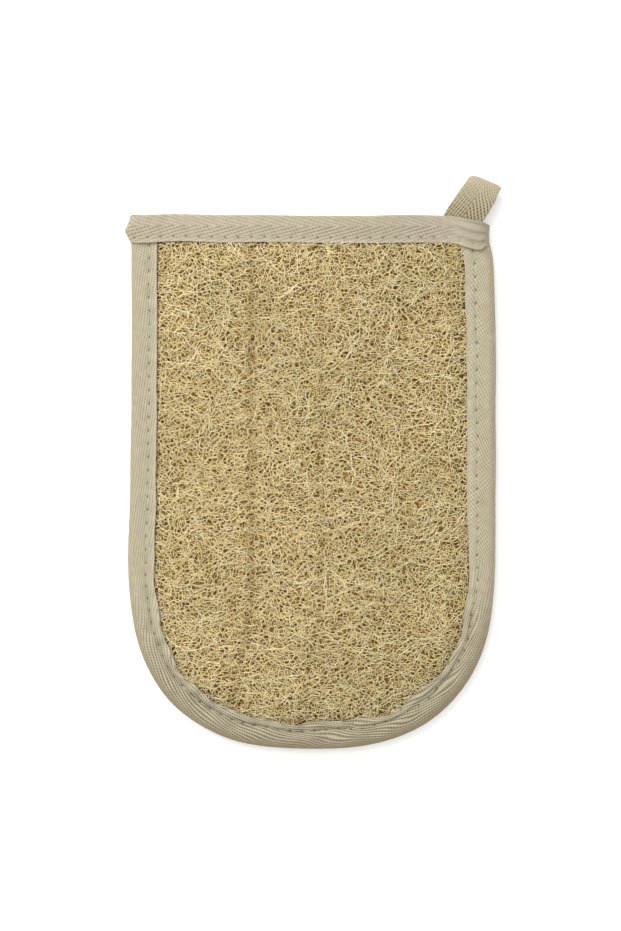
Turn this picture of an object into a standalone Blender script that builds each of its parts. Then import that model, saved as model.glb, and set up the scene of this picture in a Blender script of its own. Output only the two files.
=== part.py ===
"""Loofah bath mitt: a flattened loofah panel sewn to a terry back with cotton tape.

The mitt lies flat on its back with the loofah up. +Y runs to the open mouth and the
hanging loop, +X to the right, and the resting plane is z = 0 under the middle of the body.
All sizes below are millimetres, turned to metres where each mesh is made.
"""

import math
import random

import bmesh
import bpy
from mathutils.geometry import delaunay_2d_cdt

MM = 0.001

# Outline of the body: straight sides, and a foot that is a superellipse
HALF_WIDTH = 73.2
RIM_Y = 107.7
SIDE_END_Y = -32.2
FOOT_DEPTH = 75.8
FOOT_POWER = 2.5

# Cotton tape, and the room that touching pieces keep
TAPE = 0.7
TAPE_FACE = 10.5
GAP = 0.3
GUARD = TAPE_FACE + 0.4
PANEL_INSET = 3.4
PANEL_END_Y = RIM_Y - 1.2

# Levels of the layers at the bound edge, from the resting plane up
LOOP_LEG_Z = 0.1
MOUTH_BACK_Z = LOOP_LEG_Z + 2 * (TAPE + GAP)
EDGE_BACK_Z = MOUTH_BACK_Z + TAPE + GAP
BACK_EDGE_Z = EDGE_BACK_Z + TAPE + GAP
BACK_EDGE_THICK = 1.7
BACK_THICK = 2.4
LOOFAH_EDGE_Z = BACK_EDGE_Z + BACK_EDGE_THICK + GAP
LOOFAH_EDGE_THICK = 3.0
LOOFAH_THICK = 6.0
EDGE_FRONT_Z = LOOFAH_EDGE_Z + LOOFAH_EDGE_THICK + GAP + TAPE

# The hand pocket: how far the loofah domes over it, and how the layers ease into their edges
DOME_BODY = 6.6
DOME_MOUTH = 9.6
DOME_POWER = 1.2
DOME_FROM_Y = 40.0
DOME_TO_Y = 90.0
BACK_EASE_END = 18.0
MOUTH_EASE_END = 40.0
LOOFAH_EASE_END = 20.0

# The raised net of the loofah, drawn larger than life
CELL_WIDTH = 6.6
CELL_HEIGHT = 4.3
CELL_ZIGZAG = 0.7
CELL_JITTER = 0.26
NET_INSET = 11.6
RIDGE = (0.45, 0.8)
PIT = (1.2, 1.9)
SEED = 11

# Sewing thread, and where its two seams run
THREAD_RADIUS = 0.2
EDGE_SEAM_INSET = 7.3
MOUTH_SEAM_Y = RIM_Y - TAPE_FACE + 2.0

# Hanging loop: a doubled tape that leans to the right out of the mouth's corner
LOOP_BASE = (61.6, 107.3)
LOOP_LEAN = math.radians(31.5)
LOOP_HALF_WIDTH = 7.5
LOOP_REACH = 16.9
LOOP_BOW = 5.0
LOOP_END_Y = 100.6


def ease(value, start, end):
    """Smooth step from 0 at start to 1 at end."""
    t = min(max((value - start) / (end - start), 0.0), 1.0)
    return t * t * (3 - 2 * t)


def mix(a, b, share):
    return a + (b - a) * share


def ring_share(x, y):
    """0 on the body's middle line or foot centre, 1 on the outer outline."""
    across = abs(x) / HALF_WIDTH
    if y >= SIDE_END_Y:
        return across
    down = (SIDE_END_Y - y) / FOOT_DEPTH
    return (across**FOOT_POWER + down**FOOT_POWER) ** (1 / FOOT_POWER)


def edge_depth(x, y):
    """How far a point lies inside the bound edge."""
    return (1 - ring_share(x, y)) * HALF_WIDTH


def rim_depth(y):
    return RIM_Y - y


def seam_depth(x, y):
    return min(edge_depth(x, y), rim_depth(y))


def back_under(x, y):
    """Underside of the terry back: flat on the ground, lifted where tape runs under it."""
    side = BACK_EDGE_Z * (1 - ease(edge_depth(x, y), GUARD, BACK_EASE_END))
    at_rim = mix(BACK_EDGE_Z, EDGE_BACK_Z, ease(edge_depth(x, y), GUARD, MOUTH_EASE_END))
    return max(side, at_rim * (1 - ease(rim_depth(y), GUARD, BACK_EASE_END)))


def back_top(x, y):
    share = ease(seam_depth(x, y), GUARD, BACK_EASE_END)
    return back_under(x, y) + mix(BACK_EDGE_THICK, BACK_THICK, share)


def loofah_under(x, y):
    """Underside of the loofah: domed over the hand, higher at the mouth."""
    pocket = ring_share(x, y) * HALF_WIDTH / (HALF_WIDTH - GUARD)
    dome = mix(DOME_BODY, DOME_MOUTH, ease(y, DOME_FROM_Y, DOME_TO_Y))
    return LOOFAH_EDGE_Z + dome * max(1 - pocket * pocket, 0.0) ** DOME_POWER


def loofah_top(x, y):
    share = ease(seam_depth(x, y), GUARD, LOOFAH_EASE_END)
    return loofah_under(x, y) + mix(LOOFAH_EDGE_THICK, LOOFAH_THICK, share)


def foot_points(inset, count):
    """Points round the foot from left to right, at a depth inside the outline."""
    scale = 1 - inset / HALF_WIDTH
    points = []
    for step in range(count + 1):
        angle = math.pi * step / count
        x = -math.copysign(abs(math.cos(angle)) ** (2 / FOOT_POWER), math.cos(angle))
        y = -(math.sin(angle) ** (2 / FOOT_POWER)) if 0 < step < count else 0.0
        points.append((x * HALF_WIDTH * scale, SIDE_END_Y + y * FOOT_DEPTH * scale))
    return points


def u_path(inset, top_y, count=44):
    """The U that an edge follows: down the left side, round the foot and up the right."""
    x = HALF_WIDTH - inset
    return [(-x, top_y), *foot_points(inset, count), (x, top_y)]


def mesh_object(name, points, faces, colour, roughness):
    """One sub-part from points in millimetres, with its own Principled material."""
    mesh = bpy.data.meshes.new(name)
    mesh.from_pydata([(x * MM, y * MM, z * MM) for x, y, z in points], [], faces)
    shape = bmesh.new()
    shape.from_mesh(mesh)
    bmesh.ops.triangulate(shape, faces=shape.faces)
    bmesh.ops.recalc_face_normals(shape, faces=shape.faces)
    shape.to_mesh(mesh)
    shape.free()
    mesh.shade_smooth()
    mesh.set_sharp_from_angle(angle=math.radians(50))
    material = bpy.data.materials.new(name)
    material.use_nodes = True
    shader = material.node_tree.nodes["Principled BSDF"]
    shader.inputs["Base Color"].default_value = (*colour, 1)
    shader.inputs["Roughness"].default_value = roughness
    mesh.materials.append(material)
    item = bpy.data.objects.new(name, mesh)
    bpy.context.scene.collection.objects.link(item)
    return item


def closed_edges(start, count):
    return [(start + i, start + (i + 1) % count) for i in range(count)]


def panel_border(inset, end_y, across):
    """Closed border of a panel: the U, then back along its straight top edge."""
    border = u_path(inset, end_y)
    half = HALF_WIDTH - inset
    for step in range(1, across):
        border.append((half - 2 * half * step / across, end_y))
    return border


def triangulated(border, guard, extra, extra_edges):
    """Plan of one panel face: a triangulation that keeps the border and guard lines."""
    points = [*border, *guard, *extra]
    first = len(border) + len(guard)
    edges = closed_edges(0, len(border)) + closed_edges(len(border), len(guard))
    edges += [(first + a, first + b) for a, b in extra_edges]
    plan = delaunay_2d_cdt(points, edges, [], 0, 1e-5)
    return [tuple(p) for p in plan[0]], plan[2]


def grid_points():
    """Sparse points inside a panel, closer together where its layers bend."""
    points = []
    rows = (105, 92, 89, 84, 76, 66, 54, 38, 20, 0, -18)
    for inset in (13, 15.5, 18, 22, 29, 38, 50, 63):
        for y in rows:
            points += [(HALF_WIDTH - inset, y), (inset - HALF_WIDTH, y)]
        points += foot_points(inset, 26 if inset < 20 else 12)
    points += [(0.0, float(y)) for y in rows]
    points.append((0.0, SIDE_END_Y))
    return points


def net_cells():
    """Corners, centres and edges of the loofah's net, as jittered bricks of six corners."""
    draw = random.Random(SEED)
    rows = range(-25, 24)
    columns = range(-22, 23)
    corners = {}
    for row in rows:
        for column in columns:
            zigzag = CELL_ZIGZAG if (row + column) % 2 else -CELL_ZIGZAG
            x = column * CELL_WIDTH / 2 + draw.uniform(-1, 1) * CELL_JITTER * CELL_WIDTH / 2
            y = row * CELL_HEIGHT + zigzag + draw.uniform(-1, 1) * CELL_JITTER * CELL_HEIGHT
            corners[column, row] = (x, y + 1.6 * math.sin(x / 17 + row * 0.35))
    index = {}
    points = []
    centres = []
    edges = set()
    for row in rows[:-1]:
        for column in columns[1:-1]:
            if (row + column) % 2:
                continue
            keys = [(column - 1, row), (column, row), (column + 1, row)]
            keys += [(c, row + 1) for c, _ in reversed(keys)]
            ring = [corners[key] for key in keys]
            if min(seam_depth(x, y) for x, y in ring) < NET_INSET:
                continue
            for key in keys:
                if key not in index:
                    index[key] = len(points)
                    points.append(corners[key])
            for a, b in zip(keys, keys[1:] + keys[:1]):
                edges.add(tuple(sorted((index[a], index[b]))))
            centres.append((sum(x for x, _ in ring) / 6, sum(y for _, y in ring) / 6))
    return points, centres, sorted(edges)


def panel(name, top_plan, top_z, under_plan, under_z, border_count, colour):
    """A closed slab between two height surfaces that share one border."""
    top_points, top_faces = top_plan
    under_points, under_faces = under_plan
    points = [(x, y, top_z(i, x, y)) for i, (x, y) in enumerate(top_points)]
    shift = len(points)
    points += [(x, y, under_z(x, y)) for x, y in under_points]
    faces = [list(face) for face in top_faces]
    faces += [[shift + i for i in reversed(face)] for face in under_faces]
    for i, j in closed_edges(0, border_count):
        faces.append([i, shift + i, shift + j, j])
    return mesh_object(name, points, faces, colour, 0.95)


def loofah_panel():
    border = panel_border(PANEL_INSET, PANEL_END_Y, 26)
    guard = panel_border(GUARD, RIM_Y - GUARD, 22)
    corners, centres, edges = net_cells()
    top_plan = triangulated(border, guard, corners + centres, edges)
    under_plan = triangulated(border, guard, grid_points(), [])
    draw = random.Random(SEED + 1)
    first_corner = len(border) + len(guard)
    first_centre = first_corner + len(corners)
    relief = [draw.uniform(*RIDGE) for _ in corners] + [-draw.uniform(*PIT) for _ in centres]

    def top_z(i, x, y):
        raised = relief[i - first_corner] if i >= first_corner else 0.0
        fade = ease(seam_depth(x, y), GUARD, LOOFAH_EASE_END)
        return loofah_top(x, y) + raised * mix(0.3, 1.0, fade)

    assert len(top_plan[0]) == first_centre + len(centres)
    colour = (0.47, 0.36, 0.17)
    return panel("loofah_panel", top_plan, top_z, under_plan, loofah_under, len(border), colour)


def back_panel():
    border = panel_border(PANEL_INSET, PANEL_END_Y, 22)
    guard = panel_border(GUARD, RIM_Y - GUARD, 18)
    plan = triangulated(border, guard, grid_points(), [])
    colour = (0.66, 0.6, 0.47)

    def top_z(i, x, y):
        return back_top(x, y)

    return panel("back_panel", plan, top_z, plan, back_under, len(border), colour)


def swept(name, sections, closed, colour):
    """Closed solid through equal rings of points, capped at its ends unless it is a loop."""
    count = len(sections[0])
    points = [point for section in sections for point in section]
    faces = []
    last = len(sections) if closed else len(sections) - 1
    for s in range(last):
        here = s * count
        there = (s + 1) % len(sections) * count
        for i, j in closed_edges(0, count):
            faces.append([here + i, here + j, there + j, there + i])
    if not closed:
        faces.append(list(range(count)))
        faces.append([last * count + i for i in reversed(range(count))])
    return mesh_object(name, points, faces, colour, 0.9)


def edge_binding():
    """The tape folded round both panels' edges, as a C that opens to the middle."""
    middle = (EDGE_BACK_Z + EDGE_FRONT_Z) / 2
    bend = (EDGE_FRONT_Z - EDGE_BACK_Z) / 2
    turn = [math.radians(90 - 45 * step) for step in range(5)]

    def bow(radius):
        return [(bend - radius * math.cos(a), middle + radius * math.sin(a)) for a in turn]

    outer = [(TAPE_FACE, EDGE_FRONT_Z), *bow(bend), (TAPE_FACE, EDGE_BACK_Z)]
    inner = [(TAPE_FACE, EDGE_FRONT_Z - TAPE), *bow(bend - TAPE)]
    inner.append((TAPE_FACE, EDGE_BACK_Z + TAPE))
    profile = outer + inner[::-1]
    paths = [u_path(inset, PANEL_END_Y) for inset, _ in profile]
    sections = []
    for station in range(len(paths[0])):
        ring = [(*path[station], z) for path, (_, z) in zip(paths, profile)]
        sections.append(ring)
    return swept("edge_binding", sections, False, (0.55, 0.49, 0.35))


def ring_shares():
    """Shares of the mouth's half width from one corner to the other, close at both ends."""
    corner = (1.0, 0.995, 0.982, 0.966, 0.948)
    middle = [mix(0.92, -0.92, step / 22) for step in range(23)]
    return [*corner, *middle, *(-share for share in reversed(corner))]


def mouth_ring(half, upper, lower):
    """Closed loop of (x, z) round the mouth, over the front and back under the rear."""
    shares = ring_shares()
    over = [(half * s, upper(half * s)) for s in shares]
    under = [(half * s, lower(half * s)) for s in reversed(shares[1:-1])]
    return over + under


def outer_ring(offset):
    """Loop round the outside of the bound panels, at an offset from their outer faces."""
    half = HALF_WIDTH + GAP + offset
    low = MOUTH_BACK_Z + TAPE - offset
    side_top = EDGE_FRONT_Z + GAP + offset
    middle = (low + side_top) / 2
    bend = (side_top - low) / 2

    def cap(x):
        past = max(abs(x) - (half - bend), 0.0) / bend
        return math.sqrt(max(1 - past * past, 0.0))

    def upper(x):
        top = max(loofah_top(x, PANEL_END_Y) + GAP + offset, side_top)
        return middle + (top - middle) * cap(x)

    def lower(x):
        return middle + (low - middle) * cap(x)

    return mouth_ring(half, upper, lower)


def inner_ring(offset):
    """Loop round the inside of the mouth, at an offset from the panels' inner faces."""

    def upper(x):
        return loofah_under(x, PANEL_END_Y) - GAP - offset

    def lower(x):
        return back_top(x, PANEL_END_Y) + GAP + offset

    near, far = 0.0, HALF_WIDTH
    for _ in range(40):
        half = (near + far) / 2
        if upper(half) > lower(half):
            near = half
        else:
            far = half
    return mouth_ring(near, upper, lower)


def mouth_binding():
    """The tape folded over the rim all round the mouth, as a channel that opens downwards."""
    outside, lining = outer_ring(TAPE), outer_ring(0.0)
    inside, facing = inner_ring(TAPE), inner_ring(0.0)
    low_y = RIM_Y - TAPE_FACE
    fold = 0.5
    sections = []
    for out, lin, ins, fac in zip(outside, lining, inside, facing):
        crown_out = [mix(a, b, 0.5) for a, b in zip(out, lin)]
        crown_in = [mix(a, b, 0.5) for a, b in zip(ins, fac)]
        stack = [(out, low_y), (out, RIM_Y - fold), (crown_out, RIM_Y), (crown_in, RIM_Y)]
        stack += [(ins, RIM_Y - fold), (ins, low_y), (fac, low_y), (fac, RIM_Y - TAPE)]
        stack += [(lin, RIM_Y - TAPE), (lin, low_y)]
        sections.append([(x, y, z) for (x, z), y in stack])
    return swept("mouth_binding", sections, True, (0.54, 0.47, 0.34))


def thread(name, path, closed):
    """A round thread along a path, its cross-section square to the path."""
    count = len(path)
    sides = 5
    sections = []
    for i, (x, y, z) in enumerate(path):
        before = path[(i - 1) % count if closed else max(i - 1, 0)]
        after = path[(i + 1) % count if closed else min(i + 1, count - 1)]
        along = [b - a for a, b in zip(before, after)]
        length = math.hypot(*along)
        fixed = (0.0, 1.0, 0.0) if closed else (0.0, 0.0, 1.0)
        side = (
            (along[1] * fixed[2] - along[2] * fixed[1]) / length,
            (along[2] * fixed[0] - along[0] * fixed[2]) / length,
            (along[0] * fixed[1] - along[1] * fixed[0]) / length,
        )
        ring = []
        for k in range(sides):
            angle = math.tau * k / sides
            c, s = THREAD_RADIUS * math.cos(angle), THREAD_RADIUS * math.sin(angle)
            ring.append(tuple(p + c * a + s * b for p, a, b in zip((x, y, z), side, fixed)))
        sections.append(ring)
    return swept(name, sections, closed, (0.6, 0.54, 0.4))


def seam_threads():
    """Lockstitch threads: one on each side of the edge seam, one each side of the mouth's."""
    off = GAP + THREAD_RADIUS
    route = u_path(EDGE_SEAM_INSET, RIM_Y - TAPE_FACE - off)
    thread("edge_seam_front", [(x, y, EDGE_FRONT_Z + off) for x, y in route], False)
    thread("edge_seam_back", [(x, y, EDGE_BACK_Z - off) for x, y in route], False)
    outside = [(x, MOUTH_SEAM_Y, z) for x, z in outer_ring(TAPE + off)]
    thread("mouth_seam_outer", outside, True)
    inside = [(x, MOUTH_SEAM_Y, z) for x, z in inner_ring(TAPE + off)]
    thread("mouth_seam_inner", inside, True)


def bezier(a, b, c, d, count):
    """Points of a cubic curve after its first one."""
    points = []
    for step in range(1, count + 1):
        t = step / count
        r = 1 - t
        weights = (r**3, 3 * r * r * t, 3 * r * t * t, t**3)
        points.append(tuple(sum(w * p[k] for w, p in zip(weights, (a, b, c, d))) for k in (0, 1)))
    return points


def loop_profile():
    """Middle line of the doubled tape seen from its edge: (reach, z) from leg end to leg end."""
    low = LOOP_LEG_Z + TAPE / 2
    leg = low + TAPE + GAP
    high = low + 2 * LOOP_BOW
    turn_at = LOOP_REACH - TAPE / 2 - LOOP_BOW
    start = (LOOP_END_Y - LOOP_BASE[1]) / math.cos(LOOP_LEAN)
    points = [(start, low), (0.8, low), (6.0, low)]
    for step in range(13):
        angle = math.pi * step / 12
        points.append((turn_at + LOOP_BOW * math.sin(angle), high - LOOP_BOW * (1 + math.cos(angle))))
    points += bezier(points[-1], (4.5, high), (3.0, leg), (0.8, leg), 12)
    points.append((start, leg))
    return points


def hanging_loop():
    """The loop: its legs run behind the mouth's tape, cut in line with it."""
    axis = (math.sin(LOOP_LEAN), math.cos(LOOP_LEAN))
    cross = (math.cos(LOOP_LEAN), -math.sin(LOOP_LEAN))
    profile = loop_profile()
    sections = []
    for i, (reach, z) in enumerate(profile):
        before = profile[max(i - 1, 0)]
        after = profile[min(i + 1, len(profile) - 1)]
        length = math.hypot(after[0] - before[0], after[1] - before[1])
        normal = ((before[1] - after[1]) / length, (after[0] - before[0]) / length)
        slant = math.tan(LOOP_LEAN) * (1 - ease(reach, 5.0, 15.0))
        ring = []
        for across, face in ((-1, -1), (1, -1), (1, 1), (-1, 1)):
            wide = across * LOOP_HALF_WIDTH
            along = reach + face * normal[0] * TAPE / 2 + slant * wide
            x = LOOP_BASE[0] + axis[0] * along + cross[0] * wide
            y = LOOP_BASE[1] + axis[1] * along + cross[1] * wide
            ring.append((x, y, z + face * normal[1] * TAPE / 2))
        sections.append(ring)
    return swept("hanging_loop", sections, False, (0.45, 0.38, 0.25))


for leftover in list(bpy.data.objects):
    bpy.data.objects.remove(leftover, do_unlink=True)

loofah_panel()
back_panel()
edge_binding()
mouth_binding()
seam_threads()
hanging_loop()
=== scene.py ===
# %% [markdown]
# A loofah bath mitt. The real one is a flattened panel of natural loofah, the dry fibre net of
# a gourd, sewn to a terry back and bound with herringbone cotton tape. It lies on its back with
# the loofah up. This lesson dresses the plain solids of the frame with open fibre, woven tape
# and stitches, each as real geometry, so that it holds up from every side.

# %% Load the frame
import math

import bpy
import numpy as np
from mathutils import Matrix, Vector
from mathutils.geometry import delaunay_2d_cdt


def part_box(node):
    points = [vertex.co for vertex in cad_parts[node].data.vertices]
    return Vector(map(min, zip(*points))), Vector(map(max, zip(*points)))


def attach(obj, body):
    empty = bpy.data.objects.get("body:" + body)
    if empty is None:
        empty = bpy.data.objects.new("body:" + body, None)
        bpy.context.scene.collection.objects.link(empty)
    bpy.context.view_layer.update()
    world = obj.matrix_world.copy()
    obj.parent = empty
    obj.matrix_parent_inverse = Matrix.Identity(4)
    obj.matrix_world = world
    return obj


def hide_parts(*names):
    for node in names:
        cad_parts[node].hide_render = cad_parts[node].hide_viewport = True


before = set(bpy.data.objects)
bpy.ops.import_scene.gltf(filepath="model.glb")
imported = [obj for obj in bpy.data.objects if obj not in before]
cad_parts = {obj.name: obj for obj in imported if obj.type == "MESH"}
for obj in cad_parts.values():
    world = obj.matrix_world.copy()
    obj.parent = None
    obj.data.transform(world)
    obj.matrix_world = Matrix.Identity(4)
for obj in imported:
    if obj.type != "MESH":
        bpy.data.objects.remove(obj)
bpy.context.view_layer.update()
print("solids:", sorted(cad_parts))

# %% [markdown]
# Every size comes from the frame's own boxes, in millimetres, because cloth and fibre are easier
# to think of that way. Only the thicknesses that no box tells are named here.

# %% Sizes taken from the frame
MM = 0.001
edge_low, edge_high = [np.array(c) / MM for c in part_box("edge_binding")]
rim_low, rim_high = [np.array(c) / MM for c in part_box("mouth_binding")]
loop_low, loop_high = [np.array(c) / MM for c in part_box("hanging_loop")]

HALF_WIDTH = edge_high[0]
FOOT_Y = edge_low[1]
SIDE_END_Y = -32.2
FOOT_POWER = 2.5
FOOT_DEPTH = SIDE_END_Y - FOOT_Y
RIM_Y = rim_high[1]
BAND_LOW_Y = rim_low[1]
TAPE = 0.7
TAPE_WIDTH = 25.0
TAPE_FACE = RIM_Y - BAND_LOW_Y
GUARD = TAPE_FACE + 0.4
EDGE_BACK_Z, EDGE_FRONT_Z = edge_low[2], edge_high[2]
BACK_EDGE_Z = EDGE_BACK_Z + TAPE + 0.3
LOOFAH_EDGE_Z = EDGE_FRONT_Z - TAPE - 0.3 - 3.0
SEED = 5
print(f"body {2 * HALF_WIDTH:.1f} by {RIM_Y - FOOT_Y:.1f} mm, tape face {TAPE_FACE:.1f} mm")

# %% [markdown]
# The body is a soft pouch, so its layers are height fields over the outline: the edge lies in the
# tape, and the loofah domes over the pocket. Depth inside the outline is measured by a share that
# is 1 on the outline and 0 in the middle, because a superellipse then gives the rounded foot.

# %% Surfaces of the pouch
def ease(value, start, end):
    """Smooth step from 0 at start to 1 at end, which may be the smaller of the two."""
    t = np.clip((value - start) / (end - start), 0, 1)
    return t * t * (3 - 2 * t)


def ring_share(x, y):
    across = np.abs(x) / HALF_WIDTH
    down = np.clip((SIDE_END_Y - y) / FOOT_DEPTH, 0, None)
    return (across**FOOT_POWER + down**FOOT_POWER) ** (1 / FOOT_POWER)


def edge_depth(x, y):
    return (1 - ring_share(x, y)) * HALF_WIDTH


def seam_depth(x, y):
    return np.minimum(edge_depth(x, y), RIM_Y - y)


def back_under(x, y):
    side = BACK_EDGE_Z * (1 - ease(edge_depth(x, y), GUARD, 18))
    at_rim = BACK_EDGE_Z + (EDGE_BACK_Z - BACK_EDGE_Z) * ease(edge_depth(x, y), GUARD, 40)
    return np.maximum(side, at_rim * (1 - ease(RIM_Y - y, GUARD, 18)))


def back_top(x, y):
    return back_under(x, y) + 1.7 + 0.7 * ease(seam_depth(x, y), GUARD, 18)


def loofah_under(x, y):
    pocket = ring_share(x, y) * HALF_WIDTH / (HALF_WIDTH - GUARD)
    dome = 6.6 + 3.0 * ease(y, 40, 90)
    return LOOFAH_EDGE_Z + dome * np.clip(1 - pocket**2, 0, None) ** 1.2


def loofah_top(x, y):
    return loofah_under(x, y) + 3.0 + 3.0 * ease(seam_depth(x, y), GUARD, 20)


print("loofah top in the middle: %.1f mm" % loofah_top(0.0, 0.0))

# %% [markdown]
# Nothing sewn is exactly straight. One small function moves finished points a little: the
# right side bulges, the left hangs straight, and both wander by a fraction of a millimetre. All
# pieces but the hanging loop pass through it, so they stay together.

# %% Handmade unevenness
def waves(x, y, length, seed, count=9):
    """Smooth seeded noise of about unit height, with features of about one wave length."""
    draw = np.random.default_rng(seed)
    total = 0.0
    for _ in range(count):
        turn, phase = draw.uniform(0, math.tau, 2)
        pace = math.tau / (length * draw.uniform(0.7, 1.6))
        total = total + np.sin(pace * (x * math.cos(turn) + y * math.sin(turn)) + phase)
    return total / math.sqrt(count / 2) / 1.6


def handmade(points):
    x, y, z = points.T
    right = ease(x, -20, 73)
    bulge = 1.5 * ease(y, 98, 60) - 1.3 * ease(y, 88, 104) - 0.5 * ease(y, -10, -60)
    left = 0.5 * ease(-x, -20, 73) * ease(y, 30, -60)
    left = left - 0.6 * ease(-x, 20, 73) * ease(y, -30, 40) * ease(y, 100, 96)
    slack = (2.4 * ease(x, 56, 70) + 1.4 * ease(x, 69, 74)) * ease(y, 88, 106)
    wander = 0.22 * waves(x, y, 38, 71)
    return np.column_stack([x + right * bulge - left + wander, y - slack + 0.2 * waves(x, y, 30, 72), z])


# %% [markdown]
# Meshes here have up to a hundred thousand faces, so they are written as arrays in one go, which
# is far quicker than adding faces one by one. Colours are given as sRGB hex, the way a paint
# program shows them, and one function turns them to linear.

# %% Helpers for meshes and materials
def paint(colour):
    """Linear colour of an sRGB hex value."""
    parts = [int(colour[i : i + 2], 16) / 255 for i in (1, 3, 5)]
    return (*(c / 12.92 if c <= 0.04045 else ((c + 0.055) / 1.055) ** 2.4 for c in parts), 1)


def piece(name, points, faces, material, stands_for=(), maps=(), shade=None, settle=handmade):
    """A mesh of millimetre points that rides on the mitt. faces has one array for each face size."""
    sizes = np.concatenate([np.full(len(part), part.shape[1]) for part in faces])
    corners = np.concatenate([part.ravel() for part in faces])
    mesh = bpy.data.meshes.new(name)
    mesh.vertices.add(len(points))
    mesh.vertices.foreach_set("co", (settle(np.asarray(points)) * MM).astype(np.float32).ravel())
    mesh.loops.add(len(corners))
    mesh.loops.foreach_set("vertex_index", corners.astype(np.int32))
    mesh.polygons.add(len(sizes))
    mesh.polygons.foreach_set("loop_start", (np.cumsum(sizes) - sizes).astype(np.int32))
    mesh.polygons.foreach_set("use_smooth", np.ones(len(sizes), bool))
    mesh.update(calc_edges=True)
    for map_name, spots in maps:
        layer = mesh.uv_layers.new(name=map_name)
        layer.data.foreach_set("uv", spots.astype(np.float32).ravel())
    if shade is not None:
        mesh.attributes.new("shade", "FLOAT", "POINT").data.foreach_set("value", shade.astype(np.float32))
    mesh.materials.append(material)
    item = bpy.data.objects.new(name, mesh)
    bpy.context.scene.collection.objects.link(item)
    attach(item, "root")
    if stands_for:
        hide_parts(*stands_for)
    print(f"{name}: {int((sizes - 2).sum()):,} triangles")
    return item


def add(tree, kind, inputs=None, **settings):
    """Adds a shader node with its settings. An input takes a value, or a socket to link."""
    made = tree.nodes.new("ShaderNode" + kind)
    for name, value in settings.items():
        setattr(made, name, value)
    for name, value in (inputs or {}).items():
        if isinstance(value, bpy.types.NodeSocket):
            tree.links.new(value, made.inputs[name])
        else:
            made.inputs[name].default_value = value
    return made


def sums(tree, operation, *values):
    """A Math node of up to three values or sockets."""
    return add(tree, "Math", dict(enumerate(values)), operation=operation).outputs[0]


def blend(tree, share, a, b):
    """Colour a where share is 0 and colour b where it is 1."""
    return add(tree, "Mix", {0: share, 6: a, 7: b}, data_type="RGBA").outputs[2]


def finish_of(name, roughness, sheen=0.0, gloss=0.25):
    """A new material: itself, its node tree and its Principled shader."""
    material = bpy.data.materials.new(name)
    material.use_nodes = True
    shader = material.node_tree.nodes["Principled BSDF"]
    shader.inputs["Roughness"].default_value = roughness
    shader.inputs["Sheen Weight"].default_value = sheen
    shader.inputs["Specular IOR Level"].default_value = gloss
    return material, material.node_tree, shader


# %% [markdown]
# Dry loofah is plant fibre, soaked, washed and dried in the sun. The outermost strands are
# bleached pale straw. Deeper ones are given browner tones, as painted shade of their depth. So
# each depth of the net has its own tone of one recipe, and each strand its own share of it,
# mottled at the scale of a fibre.

# %% Sun-dried loofah fibre
# Ribs where the net sinks, by place across and strength; the strength also darkens the fibre colour there, as painted
# shade
RIB_X = ((-24.0, 0.42), (3.8, 0.24), (37.0, 0.18))
RIB_BEND = -8.0
RIB_BEND_Y = (-45.0, -100.0)


def dried_fibre(name, pale, deep, groove, span=(0.57, 1.58)):
    material, tree, shader = finish_of(name, 0.8, gloss=0.1)
    spot = add(tree, "TexCoord").outputs["Object"]
    fine = add(tree, "TexNoise", {"Vector": spot, "Scale": 1 / (1.8 * MM), "Detail": 2.0}).outputs[0]
    broad = add(tree, "TexNoise", {"Vector": spot, "Scale": 1 / (17 * MM), "Detail": 3.0}).outputs[0]
    strand = add(tree, "Attribute", attribute_name="shade").outputs["Fac"]
    tone = sums(tree, "MULTIPLY_ADD", fine, 0.9, strand)
    tone = sums(tree, "MULTIPLY_ADD", broad, 0.4, tone)
    share = add(tree, "MapRange", {"Value": tone, "From Min": span[0], "From Max": span[1]}).outputs[0]
    colour = blend(tree, share, paint(deep), paint(pale))
    patch = add(tree, "TexNoise", {"Vector": spot, "Scale": 1 / (29 * MM), "Detail": 5.0}).outputs[0]
    washed = add(tree, "MapRange", {"Value": patch, "From Min": 0.42, "From Max": 0.62}).outputs[0]
    cast = blend(tree, washed, paint("#fffdf8"), paint("#f8f7f1"))
    colour = add(tree, "Mix", {0: 1.0, 6: colour, 7: cast}, data_type="RGBA", blend_type="MULTIPLY").outputs[2]
    place = add(tree, "SeparateXYZ", {"Vector": spot}).outputs
    low, high = [edge * MM for edge in RIB_BEND_Y]
    bend = {"Value": place["Y"], "From Min": low, "From Max": high, "To Max": RIB_BEND * MM}
    bend = add(tree, "MapRange", bend, interpolation_type="SMOOTHSTEP").outputs[0]
    across = sums(tree, "SUBTRACT", place["X"], bend)
    # Along each rib the colour is drawn towards the groove colour: painted shade in the sunk line
    for middle, strength in RIB_X:
        off = sums(tree, "ABSOLUTE", sums(tree, "SUBTRACT", across, middle * MM))
        near = add(tree, "MapRange", {"Value": off, "From Max": 2.8 * MM, "To Min": strength, "To Max": 0.0})
        colour = blend(tree, near.outputs[0], colour, paint(groove))
    tree.links.new(colour, shader.inputs["Base Color"])
    grain = add(tree, "Bump", {"Height": fine, "Strength": 0.3, "Distance": 0.1 * MM}).outputs[0]
    tree.links.new(grain, shader.inputs["Normal"])
    return material


outer_fibre = dried_fibre("loofah_fibre_outer", "#f7ebc8", "#e8d6a2", "#c8af76")
bleached_fibre = dried_fibre("loofah_fibre_bleached", "#fbf1d3", "#eddfb2", "#d6c28e")
# The middle and inner nets are darker copies of the outer tone: painted shade of their depth
middle_fibre = dried_fibre("loofah_fibre_middle", "#f6eabc", "#dbc48a", "#b49963")
inner_fibre = dried_fibre("loofah_fibre_inner", "#ebd7a2", "#bea369", "#997c47")
# The pith's dark tones are painted shade for the depth seen through the holes of the nets
pith = dried_fibre("loofah_pith", "#bb995d", "#6d5229", "#6c5129", (0.55, 0.99))

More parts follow.
